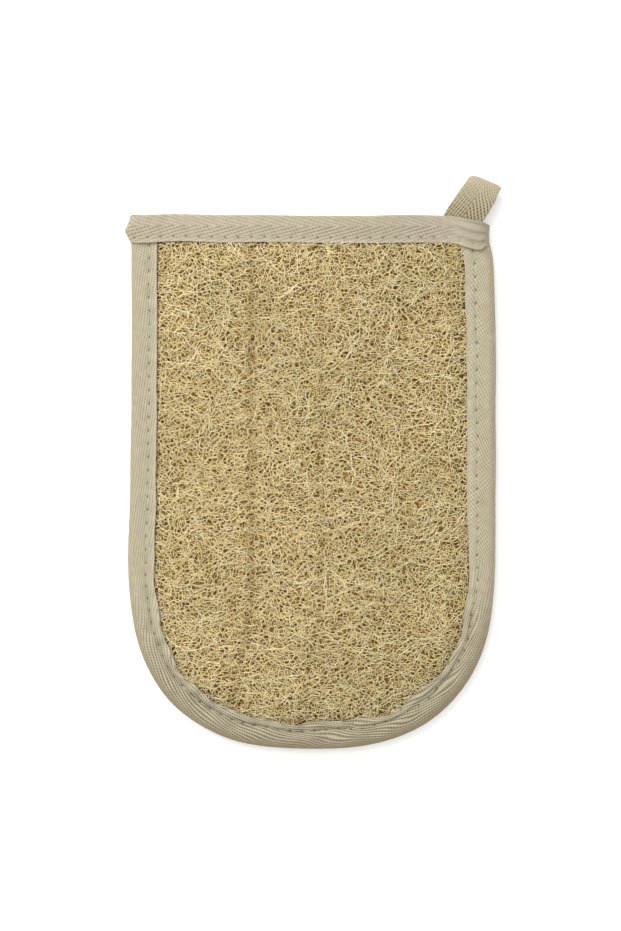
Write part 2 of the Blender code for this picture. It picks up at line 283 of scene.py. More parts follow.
# %% [markdown]
# The net. In the gourd the fibres meet three by three, like foam, because they grew between
# cells. The corners of such a foam are the middles of the triangles that join scattered seeds, and
# its threads join the middles of triangles that share a side. Seeds on a jittered grid keep the
# cells even, and a swirl drags them long in changing directions, as in a pressed gourd.

# %% A net of cells, drawn as strokes
def foam(cell, stretch, jitter, gone, seed):
    """(corner points, pairs of corners) of a flat foam. A share of its threads is gone."""
    draw = np.random.default_rng(seed)
    columns = int(2 * HALF_WIDTH / (cell * stretch)) + 6
    rows = int((RIM_Y - FOOT_Y) / (cell * 0.87)) + 6
    column, row = np.meshgrid(np.arange(columns), np.arange(rows))
    x = (column - columns / 2 + 0.5 * (row % 2)) * cell * stretch
    y = (row - rows / 2) * cell * 0.87
    x = (x + draw.normal(0, jitter, x.shape) * cell * stretch).ravel()
    y = (y + draw.normal(0, jitter, y.shape) * cell).ravel()
    plan = delaunay_2d_cdt([Vector(p) for p in zip(x, y)], [], [], 0, 1e-6)
    seeds = np.array([tuple(p) for p in plan[0]])
    triangles = np.array(plan[2])
    corners = seeds[triangles].mean(axis=1)
    sides = np.sort(np.concatenate([triangles[:, [0, 1]], triangles[:, [1, 2]], triangles[:, [2, 0]]]))
    owner = np.tile(np.arange(len(triangles)), 3)
    order = np.lexsort((sides[:, 1], sides[:, 0]))
    sides, owner = sides[order], owner[order]
    shared = (sides[1:] == sides[:-1]).all(axis=1)
    pairs = np.column_stack([owner[:-1][shared], owner[1:][shared]])
    x, y = corners.T
    drag_x = 0.2 * waves(x, y, 7, seed + 1) + 0.4 * waves(x, y, 26, seed + 2)
    drag_y = 0.25 * waves(x, y, 7, seed + 3) + 0.8 * waves(x, y, 26, seed + 4)
    corners = np.column_stack([x + cell * drag_x, y + cell * drag_y])
    x, y = corners[pairs[:, 0]].T
    return corners, pairs[draw.random(len(pairs)) > gone + 0.04 * waves(x, y, 9, seed + 5)]


def strokes(corners, pairs):
    """Joins the threads into long strokes. At each corner, the two straightest run through."""
    meeting = [[] for _ in corners]
    for number, (a, b) in enumerate(pairs):
        meeting[a].append(number)
        meeting[b].append(number)
    heading = corners[pairs[:, 1]] - corners[pairs[:, 0]]
    heading /= np.maximum(np.linalg.norm(heading, axis=1), 1e-9)[:, None]
    onward = {}
    for corner, threads in enumerate(meeting):
        away = [heading[t] if pairs[t, 0] == corner else -heading[t] for t in threads]
        bends = [
            (away[i] @ away[j], threads[i], threads[j])
            for i in range(len(threads))
            for j in range(i + 1, len(threads))
        ]
        if bends and min(bends)[0] < -0.2:
            _, first, second = min(bends)
            onward[corner, first] = second
            onward[corner, second] = first
    used = set()

    def walk(corner, thread):
        path = [corner]
        while onward.get((corner, thread), -1) >= 0 and onward[corner, thread] not in used:
            thread = onward[corner, thread]
            used.add(thread)
            corner = pairs[thread].sum() - corner
            path.append(corner)
        return path

    runs = []
    for number, (a, b) in enumerate(pairs):
        if number not in used:
            used.add(number)
            runs.append(corners[walk(a, number)[::-1] + walk(b, number)])
    return runs


def rounded(path, step):
    """The path with its corners cut off twice, in points about one step apart."""
    for _ in range(2):
        near = 0.75 * path[:-1] + 0.25 * path[1:]
        far = 0.25 * path[:-1] + 0.75 * path[1:]
        path = np.concatenate([path[:1], np.stack([near, far], axis=1).reshape(-1, 2), path[-1:]])
    walked = np.concatenate([[0], np.cumsum(np.linalg.norm(np.diff(path, axis=0), axis=1))])
    stops = np.linspace(0, walked[-1], max(int(round(walked[-1] / step)), 1) + 1)
    return np.column_stack([np.interp(stops, walked, path[:, i]) for i in range(2)])


# %% [markdown]
# A strand is a three-sided tube with one edge on top. Shaded smooth it looks round from any side
# that is seen, and it costs only six triangles a step, so the whole net can be real geometry.

# %% Strands as real tubes
def unit(rows):
    return rows / np.maximum(np.linalg.norm(rows, axis=1), 1e-9)[:, None]


def tubes(name, runs, material, stands_for=()):
    """One mesh of closed tubes along the runs, each an array of x, y, z, radius and shade."""
    sizes = np.array([len(run) for run in runs])
    data = np.concatenate(runs)
    first = np.cumsum(sizes) - sizes
    last = first + sizes - 1
    spots, radius = data[:, :3], data[:, 3:4]
    ahead = np.zeros_like(spots)
    ahead[:-1] = np.diff(spots, axis=0)
    ahead[last] = ahead[last - 1]
    behind = np.roll(ahead, 1, axis=0)
    behind[first] = ahead[first]
    along = unit(unit(ahead) + unit(behind))
    side = unit(np.cross(along, [0.0, 0.0, 1.0]))
    top = np.cross(side, along)
    ring = [spots + radius * top]
    ring += [spots + radius * (turn * 0.87 * side - 0.5 * top) for turn in (1, -1)]
    points = np.stack(ring, axis=1).reshape(-1, 3)
    a = 3 * np.setdiff1d(np.arange(len(data)), last)
    walls = [[a + k, a + (k + 1) % 3, a + 3 + (k + 1) % 3, a + 3 + k] for k in range(3)]
    quads = np.stack([np.stack(wall, axis=1) for wall in walls], axis=1)
    caps = np.concatenate([3 * first[:, None] + [0, 2, 1], 3 * last[:, None] + [0, 1, 2]])
    # Each step of a tube has its own cell of the baking map, with its three walls side by side
    cells = math.ceil(math.sqrt(len(a) + len(caps)))
    home = np.column_stack(np.divmod(np.arange(len(a) + len(caps)), cells)[::-1])
    wall_map = np.array([[(k / 3, 0), ((k + 1) / 3, 0), ((k + 1) / 3, 1), (k / 3, 1)] for k in range(3)])
    wall_uv = (home[: len(a), None, None] + 0.04 + 0.92 * wall_map[None]) / cells
    cap_uv = (home[len(a) :, None] + np.array([(0.1, 0.1), (0.9, 0.1), (0.5, 0.9)])) / cells
    maps = [("OFBake", np.concatenate([wall_uv.reshape(-1, 2), cap_uv.reshape(-1, 2)]))]
    faces = [quads.reshape(-1, 4), caps]
    return piece(name, points, faces, material, stands_for, maps, np.repeat(data[:, 4], 3))


# %% [markdown]
# The real panel is several such nets on top of one another: fine dense ones below, and a more open
# one on the outside with long loose strands pressed across it. They sink a little along the two
# ribs. Where they pass under the tape they are kept below its folded face.

# %% Layers of the loofah
UNDER_TAPE = 8.4


def laid(run, level, radius, shade, seed, sway=0.3):
    """Lifts a flat run on to the loofah at this level, and cuts it where it leaves the panel."""
    x, y = run.T
    straight = x - RIB_BEND * ease(y, *RIB_BEND_Y)
    ribs = sum(0.8 * strength * np.exp(-(((straight - middle) / 2.0) ** 2)) for middle, strength in RIB_X)
    depth = seam_depth(x, y)
    puff = 0.8 * ease(depth, GUARD - 0.4, GUARD + 1.2) * ease(depth, 20, 13)
    z = loofah_top(x, y) + level + puff - ribs + sway * waves(x, y, 5.5, seed, 5)
    lid = loofah_top(x, y) + 0.1 - radius + 3 * ease(depth, GUARD - 0.2, 12.6)
    z = np.minimum(z, lid)
    whole = np.column_stack([x, y, z, np.full(len(x), radius), np.full(len(x), shade)])
    inside = depth > UNDER_TAPE
    cuts = np.flatnonzero(np.diff(inside.astype(int))) + 1
    return [part for part in np.split(whole, cuts) if len(part) > 1 and inside_of(part)]


def inside_of(part):
    middle = part[len(part) // 2]
    return bool(seam_depth(middle[0], middle[1]) > UNDER_TAPE)


def net_layer(name, cell, gone, level, radius, step, material, seed, stands_for=()):
    draw = np.random.default_rng(seed + 50)
    runs = []
    for path in strokes(*foam(cell, 1.9, 0.38, gone, seed)):
        thick = radius * draw.uniform(0.8, 1.3)
        lift = level + draw.normal(0, 0.12)
        runs += laid(rounded(path, step), lift, thick, draw.uniform(0, 1), seed)
    return tubes(name, runs, material, stands_for)


net_layer("loofah_net_outer", 1.5, 0.3, 0.15, 0.15, 0.85, outer_fibre, SEED, ["loofah_panel"])
net_layer("loofah_net_middle", 1.45, 0.12, -0.35, 0.165, 0.93, middle_fibre, SEED + 10)
net_layer("loofah_net_inner", 1.33, 0.06, -0.9, 0.185, 1.25, inner_fibre, SEED + 20)


def strewn(name, apart, length, levels, radii, material, seed):
    """Single strands strewn evenly over the panel. Neighbours lie in much the same direction."""
    draw = np.random.default_rng(seed)
    spots = np.stack(np.meshgrid(np.arange(-66, 66, apart), np.arange(FOOT_Y + 5, RIM_Y - 7, apart)), -1)
    runs = []
    for x, y in spots.reshape(-1, 2) + draw.uniform(0, apart, (spots.size // 2, 2)):
        stride = np.arange(int(draw.gamma(3.0, length / 3)) + 3) * 0.95
        turn = 0.05 + 0.5 * waves(x, y, 27, seed + 1) + draw.normal(0, 0.55)
        turns = turn + draw.normal(0, 0.6 / length) * stride + 0.5 * waves(stride, 9 * x, 7, seed + 2, 4)
        path = 0.95 * np.cumsum(np.column_stack([np.cos(turns), np.sin(turns)]), axis=0) + (x, y)
        runs += laid(path, draw.uniform(*levels), draw.uniform(*radii), draw.uniform(0, 1), seed)
    tubes(name, runs, material)


strewn("loofah_short_strands", 2.42, 5.0, (-0.35, 0.3), (0.11, 0.19), middle_fibre, SEED + 30)
strewn("loofah_long_strands", 7.2, 17.0, (0.15, 0.45), (0.1, 0.16), bleached_fibre, SEED + 40)

# %% [markdown]
# Tape, panels and loop are all one kind of form: a section swept from station to station. The
# section goes out along one face and back along the other, so each piece is a closed skin with a
# true thickness. Its cloth map holds millimetres along and across the tape, for the weave.

# %% Swept skins
def zipped(left, right):
    """Triangles between two chains of corners that start and end side by side."""
    faces = []
    i = j = 0
    while i < len(left) - 1 or j < len(right) - 1:
        go_left = j == len(right) - 1
        if not go_left and i < len(left) - 1:
            go_left = (i + 1) * (len(right) - 1) <= (j + 1) * (len(left) - 1)
        if go_left:
            faces.append((left[i], left[i + 1], right[j]))
            i += 1
        else:
            faces.append((left[i], right[j + 1], right[j]))
            j += 1
    return np.array(faces)


def skin(name, grid, cloth, outer, material, stands_for=(), ring=0.0, folds=1, settle=handmade):
    """Closed skin over stations by corners. The first outer corners of a section are its front."""
    rows, cols = grid.shape[:2]
    number = np.arange(rows * cols).reshape(rows, cols)
    row = np.arange(rows if ring else rows - 1)
    i, j = np.meshgrid(row, np.arange(cols), indexing="ij")
    step_i, step_j = (0, 0, 1, 1), (0, 1, 1, 0)
    quads = np.stack([number[(i + p) % rows, (j + q) % cols] for p, q in zip(step_i, step_j)], axis=-1)
    # The baking map lays the unrolled skin in rows one above another, so that it nearly fills a square
    per_fold = math.ceil(len(row) / folds)
    fold = i // per_fold
    u = np.stack([(i - fold * per_fold + p) / per_fold for p in step_i], axis=-1)
    v = np.stack([(fold + 0.02 + 0.96 * (j + q) / cols) / folds for q in step_j], axis=-1)
    bake = [np.stack([0.005 + 0.97 * u, v], axis=-1).reshape(-1, 2)]
    along = np.stack([cloth[(i + p) % rows, (j + q) % cols] for p, q in zip(step_i, step_j)], axis=-2)
    along[..., 0] += ring * np.stack([i + p >= rows for p in step_i], axis=-1)
    maps = [along.reshape(-1, 2)]
    faces = [quads.reshape(-1, 4)]
    if not ring:
        front, rear = np.arange(outer), np.arange(cols - 1, outer - 1, -1)
        near = zipped(number[0, front], number[0, rear])[:, ::-1]
        caps = np.concatenate([near, zipped(number[-1, front], number[-1, rear])])
        faces.append(caps)
        maps.append(cloth.reshape(-1, 2)[caps.ravel()])
        spot = np.arange(len(caps))
        corner = np.array([(0.978, 0), (0.998, 0), (0.988, 0.9)])
        bake.append((corner[None] * (1, 1 / len(caps)) + np.column_stack([0 * spot, spot / len(caps)])[:, None]))
        bake[1] = bake[1].reshape(-1, 2)
    points = grid.reshape(-1, 3)
    a, b, c = (points[quads.reshape(-1, 4)[:, k]] for k in (0, 1, 2))
    d = points[quads.reshape(-1, 4)[:, 3]]
    volume = (np.cross(a, b) * c).sum() + (np.cross(a, c) * d).sum()
    if volume < 0:
        order = [np.arange(part.size).reshape(part.shape)[:, ::-1].ravel() for part in faces]
        bake = [m[o] for m, o in zip(bake, order)]
        maps = [m[o] for m, o in zip(maps, order)]
        faces = [part[:, ::-1] for part in faces]
    layers = [("OFBake", np.concatenate(bake)), ("cloth", np.concatenate(maps))]
    return piece(name, points, faces, material, stands_for, layers, settle=settle)


# %% [markdown]
# The tapes are unbleached cotton woven in a herringbone: each stripe's twill lines run the other
# way from its neighbour's, so the tape lies flat and doesn't ravel. A line is a row of floats
# 1.5 mm long, 1.4 mm from the next. The relief is real, a tenth of a millimetre, and the colour
# follows it: between the floats it is painted darker, as painted shade.

# %% Herringbone, as relief and as colour
# Stripe width, slope of the twill lines in the two kinds of stripe, how far apart the lines are,
# how long their floats are, and how deep the second kind of stripe is next to the first
EDGE_WEAVE = (12.5, 0.14, 0.14, 1.0, 1.2, 1.0)
MOUTH_WEAVE = (6.25, 0.259, 0.259, 1.3, 1.4, 0.5)
LOOP_WEAVE = (7.5, -0.17, -0.53, 1.2, 1.5, 1.0)
# On the right side the edge tape was turned as it was sewn: from this far along it, its middle
# line moves in by so much over so long, and the slopes of the two kinds of stripe change by this
EDGE_TURN = (383.0, 3.7, 40.0, -0.58, -0.4)
NO_TURN = (1e4, 0.0, 1.0, 0.0, 0.0)
STITCH = 5.35
HOLE = (0.62, 0.3)
FRONT_SEAM = 3.2
BACK_SEAM = TAPE_WIDTH - 3.2


def pingpong(value, top):
    return top - np.abs(np.mod(value, 2 * top) - top)


def weave(u, v, kind, turn=NO_TURN):
    """Height of the weave, from 0 to 1, at u along and v across the tape, in millimetres."""
    stripe, slope, other_slope, pitch, floats, second = kind
    turn_at, moved, reach, more, other_more = turn
    past = np.maximum(u - turn_at, 0)
    v = v + moved * np.clip(past / reach, 0, 1)
    odd = np.mod(np.floor(v / stripe), 2)
    lean = (slope + (other_slope - slope) * odd) * u + (more + (other_more - more) * odd) * past
    phase = (pingpong(v, stripe) - lean) / pitch
    groove = 1 - np.sqrt(0.5 + 0.5 * np.cos(math.tau * phase))
    bead = 0.5 + 0.5 * np.cos(math.tau * (u / floats + 0.5 * np.floor(phase)))
    return 1 - groove * (0.3 + 0.7 * bead) * (1 + (second - 1) * odd)


def stitch_dent(u, v, seams):
    """How deep the needle holes pull the tape in, from 0 to 1."""
    dent = 0.0
    for seam in seams:
        reach = (pingpong(u, STITCH / 2) / HOLE[0]) ** 2 + ((v - seam) / HOLE[1]) ** 2
        dent = dent + np.exp(-reach / 2)
    return dent


def herringbone(name, pale, deep, kind, seams, margin, bold, hole_share=0.85, specks=(0.0, 0.0), fold_shade=0.0, end_shade=0.0,
                turn=NO_TURN):
    material, tree, shader = finish_of(name, 0.85, 0.12)
    cloth = add(tree, "SeparateXYZ", {"Vector": add(tree, "UVMap", uv_map="cloth").outputs[0]})
    u, v = cloth.outputs[0], cloth.outputs[1]
    spot = add(tree, "TexCoord").outputs["Object"]
    wear = add(tree, "TexNoise", {"Vector": spot, "Scale": 1 / (2.4 * MM), "Detail": 4.0}).outputs[0]
    cloud = add(tree, "TexNoise", {"Vector": spot, "Scale": 1 / (21 * MM), "Detail": 2.0}).outputs[0]
    stripe, slope, other_slope, pitch, floats, second = kind
    turn_at, moved, reach, more, other_more = turn
    past = sums(tree, "MAXIMUM", sums(tree, "SUBTRACT", u, turn_at), 0.0)
    moved = add(tree, "MapRange", {"Value": past, "From Max": reach, "To Max": moved}).outputs[0]
    across = sums(tree, "ADD", v, moved)
    odd = sums(tree, "FLOORED_MODULO", sums(tree, "FLOOR", sums(tree, "DIVIDE", across, stripe)), 2.0)
    lean = sums(tree, "MULTIPLY_ADD", odd, slope - other_slope, -slope)
    lean_past = sums(tree, "MULTIPLY_ADD", odd, more - other_more, -more)
    phase = sums(tree, "MULTIPLY_ADD", u, lean, sums(tree, "PINGPONG", across, stripe))
    phase = sums(tree, "MULTIPLY_ADD", past, lean_past, phase)
    phase = sums(tree, "DIVIDE", phase, pitch)
    line = sums(tree, "MULTIPLY_ADD", sums(tree, "COSINE", sums(tree, "MULTIPLY", phase, math.tau)), 0.5, 0.5)
    groove = sums(tree, "SUBTRACT", 1.0, sums(tree, "SQRT", line))
    half_step = sums(tree, "MULTIPLY", sums(tree, "FLOOR", phase), 0.5)
    float_phase = sums(tree, "ADD", half_step, sums(tree, "DIVIDE", u, floats))
    bead = sums(tree, "COSINE", sums(tree, "MULTIPLY", float_phase, math.tau))
    bead = sums(tree, "MULTIPLY_ADD", bead, 0.35, 0.65)
    plain = add(tree, "MapRange", {"Value": v, "From Min": 1.5, "From Max": 4.5, "To Min": margin}).outputs[0]
    plain = sums(tree, "MULTIPLY", plain, sums(tree, "MULTIPLY_ADD", cloud, 2.0, 0.15))
    plain = sums(tree, "MULTIPLY", plain, sums(tree, "MULTIPLY_ADD", odd, second - 1, 1.0))
    axis, start, end, at_start, at_end = bold
    place = add(tree, "SeparateXYZ", {"Vector": spot}).outputs[axis]
    span = {"Value": place, "From Min": start * MM, "From Max": end * MM, "To Min": at_start, "To Max": at_end}
    bold = add(tree, "MapRange", span).outputs[0]
    plain = sums(tree, "MULTIPLY", plain, bold)
    height = sums(tree, "SUBTRACT", 1.0, sums(tree, "MULTIPLY", sums(tree, "MULTIPLY", groove, bead), plain))
    # The weave's height sets the tone, so its grooves are painted shade
    tone = sums(tree, "MULTIPLY_ADD", wear, 0.6, sums(tree, "MULTIPLY", height, 1.0))
    tone = sums(tree, "MULTIPLY_ADD", cloud, 0.4, tone)
    # The inner selvedge is painted paler: a painted highlight on its raised edge
    cord_highlight = add(tree, "MapRange", {"Value": v, "From Min": 1.5, "From Max": 0.9, "To Max": 0.09}).outputs[0]
    tone = sums(tree, "ADD", tone, cord_highlight)
    # Along each seam the tone is lowered: painted shade where the seam pulls the tape in
    for seam in seams:
        off = sums(tree, "ABSOLUTE", sums(tree, "SUBTRACT", v, seam))
        valley_shade = add(tree, "MapRange", {"Value": off, "From Max": 1.2, "To Min": -0.13, "To Max": 0.0})
        tone = sums(tree, "MULTIPLY_ADD", valley_shade.outputs[0], sums(tree, "MULTIPLY", bold, bold), tone)
    share = add(tree, "MapRange", {"Value": tone, "From Min": 0.75, "From Max": 1.65}).outputs[0]
    colour = blend(tree, share, paint(deep), paint(pale))
    # A trace of rose in some places and of green in others, as in cotton that is not bleached
    tint = add(tree, "MapRange", {"Value": cloud, "From Min": 0.42, "From Max": 0.6}).outputs[0]
    cast = blend(tree, tint, paint("#efebdf"), paint("#f0e8df"))
    colour = add(tree, "Mix", {0: 0.8, 6: colour, 7: cast}, data_type="RGBA", blend_type="MULTIPLY").outputs[2]
    for seam in seams:
        du = sums(tree, "DIVIDE", sums(tree, "PINGPONG", u, STITCH / 2), HOLE[0])
        dv = sums(tree, "DIVIDE", sums(tree, "SUBTRACT", v, seam), HOLE[1])
        reach = sums(tree, "MULTIPLY_ADD", du, du, sums(tree, "MULTIPLY", dv, dv))
        hole = add(tree, "MapRange", {"Value": reach, "From Min": 1.7, "From Max": 0.5, "To Max": hole_share})
        share = sums(tree, "MULTIPLY", hole.outputs[0], sums(tree, "MINIMUM", bold, 1.0))
        colour = blend(tree, share, colour, paint("#4d4230"))
    if specks[0]:
        extra = sums(tree, "MAXIMUM", sums(tree, "SUBTRACT", bold, specks[1]), 0.0)
        dots = sums(tree, "MULTIPLY", sums(tree, "MULTIPLY", groove, bead), extra)
        colour = blend(tree, sums(tree, "MULTIPLY", dots, specks[0]), colour, paint("#4a3a22"))
    # Near the fold the tape is darkened: painted shade where it curves away from the light, most at the foot
    if fold_shade:
        fold = sums(tree, "ABSOLUTE", sums(tree, "SUBTRACT", v, TAPE_WIDTH / 2))
        near = add(tree, "MapRange", {"Value": fold, "From Min": 4.8, "From Max": 1.8, "To Max": fold_shade})
        share = sums(tree, "MULTIPLY", near.outputs[0], sums(tree, "SUBTRACT", bold, 0.65))
        colour = blend(tree, share, colour, paint("#8a754a"))
    # The band's right end is darkened: painted shade where the end rolls away from the light
    if end_shade:
        end = {"Value": place, "From Min": 61 * MM, "From Max": 73 * MM, "To Max": end_shade}
        colour = blend(tree, add(tree, "MapRange", end).outputs[0], colour, paint("#857f6b"))
    tree.links.new(colour, shader.inputs["Base Color"])
    grain = add(tree, "Bump", {"Height": height, "Strength": 0.7, "Distance": 0.12 * MM}).outputs[0]
    tree.links.new(grain, shader.inputs["Normal"])
    return material


edge_seams = (FRONT_SEAM, BACK_SEAM)
# How strongly the weave's painted shade shows, and with it the holes, specks, seam shade and fold
# shade: along an axis, from and to these millimetres, by these shares
EDGE_BOLD = ("Y", -85.0, -45.0, 1.75, 0.95)
MOUTH_BOLD = ("X", 46.0, 63.0, 1.0, 0.3)
LOOP_BOLD = ("Y", 110.0, 119.0, 1.35, 0.4)
edge_cotton = herringbone("cotton_tape_edge", "#c0baa8", "#908a70", EDGE_WEAVE, edge_seams, 0.65, EDGE_BOLD, 0.65,
                          specks=(0.75, 0.85), fold_shade=0.6, turn=EDGE_TURN)
mouth_cotton = herringbone("cotton_tape_mouth", "#bab3a3", "#88816c", MOUTH_WEAVE, (2.0,), 0.5, MOUTH_BOLD,
                           hole_share=0.65, end_shade=0.75)
loop_cotton = herringbone("cotton_tape_loop", "#bdb49e", "#8f856b", LOOP_WEAVE, (), 1.0, LOOP_BOLD, specks=(0.7, 0.0))

# %% [markdown]
# The edge tape is one strip 25 mm wide, folded over the joined panels: 10.5 mm on the front, round
# the edge, and 10.5 mm on the back. Its selvedges are thin cords, and round the foot the inner one
# is too long for its curve, so it puckers.

# %% Edge tape
STATION = 0.6
def outline():
    """Points along the outline from the left side by the foot to the right, evenly spaced."""
    side = np.column_stack([np.full(200, -HALF_WIDTH), np.linspace(RIM_Y - 1.2, SIDE_END_Y, 200)])
    angle = np.linspace(0, math.pi, 1200)
    power = 2 / FOOT_POWER
    x = -np.sign(np.cos(angle)) * np.abs(np.cos(angle)) ** power * HALF_WIDTH
    y = SIDE_END_Y - np.sin(angle) ** power * FOOT_DEPTH
    path = np.concatenate([side[:-1], np.column_stack([x, y]), side[::-1][1:] * (-1, 1)])
    walked = np.concatenate([[0], np.cumsum(np.linalg.norm(np.diff(path, axis=0), axis=1))])
    stops = np.linspace(0, walked[-1], int(walked[-1] / STATION) + 1)
    return np.column_stack([np.interp(stops, walked, path[:, i]) for i in range(2)]), stops


edge_line, edge_stops = outline()
BEND = (EDGE_FRONT_Z - EDGE_BACK_Z) / 2
BEND_MIDDLE_Z = EDGE_BACK_Z + BEND
FLAT = TAPE_FACE - BEND
ARC = math.pi * BEND
EDGE_SPAN = 2 * FLAT + ARC


def tape_section(t, depth):
    """(inset, height, outward inset, outward height) at t along the fold, depth below its face."""
    front, back = t < FLAT, t > FLAT + ARC
    angle = np.clip((t - FLAT) / BEND, 0, math.pi)
    inset = np.where(front, TAPE_FACE - t, np.where(back, BEND + (t - FLAT - ARC), BEND - BEND * np.sin(angle)))
    z = BEND_MIDDLE_Z + BEND * np.cos(angle)
    out_inset = np.where(front | back, 0, -np.sin(angle))
    out_z = np.cos(angle)
    return inset - out_inset * depth, z - out_z * depth, out_inset, out_z


def inset_point(line, inset):
    """Points of the outline moved inwards by this much, as the CAD solid's section is."""
    k = 1 - inset / HALF_WIDTH
    y = np.where(line[:, 1:] >= SIDE_END_Y, line[:, 1:], SIDE_END_Y + (line[:, 1:] - SIDE_END_Y) * k)
    return line[:, :1] * k, y


def seam_valley(t, foot):
    """How deep the front seam pulls the tape in; most at the foot, where the tape is full."""
    return (0.12 + 0.75 * foot) * np.exp(-(((t - FRONT_SEAM + 0.1) / 0.7) ** 2))


def rolled(z, inset, foot):
    """Round the foot the tape slopes away to its fold."""
    return EDGE_BACK_Z + (z - EDGE_BACK_Z) * (1 - 0.28 * foot * ease(inset, 5.2, -1))


fine_t = np.arange(0, FLAT + 0.6 * ARC, 0.37)
rest_t = np.linspace(fine_t[-1] + 0.55, EDGE_SPAN, 22)
front_t = np.concatenate([fine_t, rest_t])
under_t = np.linspace(EDGE_SPAN, 0, 17)
U, T = np.meshgrid(edge_stops, front_t, indexing="ij")
foot = ease(-edge_line[:, 1], -SIDE_END_Y, -SIDE_END_Y + 30)[:, None]
low = ease(-edge_line[:, 1], 66, 90)[:, None]
V = T + (0.2 + 0.35 * foot) * waves(U, 2.5 * T, 16, 84)
selvedge = np.exp(-((T / 0.4) ** 2)) - 0.7 * np.exp(-(((T - 1.0) / 0.35) ** 2))
selvedge = selvedge + np.exp(-(((EDGE_SPAN - T) / 0.4) ** 2))
margin = 1 - 0.8 * np.exp(-((T / 1.3) ** 2))
pucker = waves(U, 0 * U, 7.5, 81, 5) * np.exp(-((T / 4) ** 2)) * (0.12 + 0.15 * foot + 0.25 * low)
height = 0.13 * (weave(U, V, EDGE_WEAVE, EDGE_TURN) - 0.5) * margin + 0.2 * selvedge - 0.3 * stitch_dent(U, V, (FRONT_SEAM, BACK_SEAM))
height = height + pucker + (0.1 + 0.35 * foot) * waves(U, 2.2 * T, 12, 82) * ease(T, 10, 5)
height = height - seam_valley(T, foot)
inset, z, out_inset, out_z = tape_section(T, -height)
z = rolled(z, inset, foot)
inset = inset + (0.2 + 0.15 * foot + 0.6 * low) * waves(U, 0 * U, 15, 83, 6) * np.exp(-((T / 3) ** 2))
inset = inset + 1.2 * ease(U, 375, 400) * np.exp(-((T / 3) ** 2))
x, y = inset_point(edge_line, inset)
outer_face = np.stack([x, y, z], axis=-1)
U2, T2 = np.meshgrid(edge_stops, under_t, indexing="ij")
inset2, z2, _, _ = tape_section(T2, TAPE + seam_valley(T2, foot))
z2 = rolled(z2, inset2, foot)
inset2 = inset2 + (inset[:, :1] - TAPE_FACE) * np.exp(-((T2 / 3) ** 2))
x2, y2 = inset_point(edge_line, inset2)
grid = np.concatenate([outer_face, np.stack([x2, y2, z2], axis=-1)], axis=1)
cloth = np.concatenate([np.stack([U, V], -1), np.stack([U2, T2], -1)], axis=1)
edge_tape = skin("edge_tape", grid, cloth, len(front_t), edge_cotton, ["edge_binding"], folds=4)

# %% [markdown]
# A wider band of the same tape closes the mouth. It is folded over the rim all the way round, so
# it is a ring: one leaf outside, one leaf inside. At the right end it was sewn slack, and it sags
# there in a few flat folds. At the left end it is pulled to a blunt point.

# %% Mouth band
PANEL_END_Y = RIM_Y - 1.2
MOUTH_BACK_Z = rim_low[2]
SEAM_UP = 2.0


def ring_line(half, upper, lower, counts=(340, 150)):
    """(x, z) once round, from the left tip over the top to the right tip and back below."""
    x = -half * np.cos(np.linspace(0, math.pi, 1500))
    sides = []
    for height, way, count in ((upper, 1, counts[0]), (lower, -1, counts[1])):
        path = np.column_stack([x, height(x)])[::way]
        walked = np.concatenate([[0], np.cumsum(np.linalg.norm(np.diff(path, axis=0), axis=1))])
        stops = np.linspace(0, walked[-1], count + 1)[:-1]
        sides.append(np.column_stack([np.interp(stops, walked, path[:, i]) for i in range(2)]))
    return np.concatenate(sides)


def outer_ring(offset):
    half = HALF_WIDTH + 0.3 + offset
    low = MOUTH_BACK_Z + TAPE - offset
    side_top = EDGE_FRONT_Z + 0.3 + offset
    middle, bend = (low + side_top) / 2, (side_top - low) / 2

    def cap(x):
        return np.sqrt(np.clip(1 - (np.clip(np.abs(x) - (half - bend), 0, None) / bend) ** 2, 0, 1))

    def upper(x):
        top = np.maximum(loofah_top(x, PANEL_END_Y) + 0.3 + offset, side_top)
        return middle + (top - middle) * cap(x)

    return ring_line(half, upper, lambda x: middle + (low - middle) * cap(x))


def inner_ring(offset):
    x = np.linspace(0, HALF_WIDTH, 7300)
    room = loofah_under(x, PANEL_END_Y) - back_top(x, PANEL_END_Y) - 0.6 - 2 * offset
    half = x[np.argmax(room <= 0)]
    return ring_line(
        half,
        lambda x: loofah_under(x, PANEL_END_Y) - 0.3 - offset,
        lambda x: back_top(x, PANEL_END_Y) + 0.3 + offset,
    )


def sagged(points):
    """The band as it was sewn: slack and folded at its right end, drawn out at its left end."""
    x, y, z = points.T
    up = np.clip((y - BAND_LOW_Y) / TAPE_FACE, 0, 1)
    drop = (2.7 * ease(x, 55, 68.5) - 2.5 * ease(x, 68.5, 73.5)) * (1 - up) ** 2
    drop = drop + 0.6 * ease(z, 9, 18) + 0.6 * (1 - up) * ease(z, 6, 9)
    drop = drop - 0.8 * up**2 * np.exp(-(((x + 72.5) / 1.1) ** 2))
    creases = 0.6 * np.sin(math.tau * (up * 3.1 + 0.025 * (x - 60))) * ease(x, 52, 66) * ease(z, 9, 12)
    peak = 1 - np.clip(np.abs(up - 0.42) / 0.45, 0, 1)
    left = ease(-x, 66, 74) * (2.1 * peak - 1.0)
    right = 1.2 * ease(x, 66, 74) * (1 - 0.6 * up)
    wander = 0.25 * waves(x, 0 * x, 26, 91, 5)
    return np.column_stack([x - left - right, y - drop + wander, z + creases])


def around(ring):
    """Outward directions and walked lengths of a closed (x, z) ring."""
    ahead = np.roll(ring, -1, axis=0) - np.roll(ring, 1, axis=0)
    outward = unit(np.column_stack([-ahead[:, 1], ahead[:, 0]]))
    walked = np.concatenate([[0], np.cumsum(np.linalg.norm(np.diff(ring, axis=0), axis=1))])
    return outward, walked


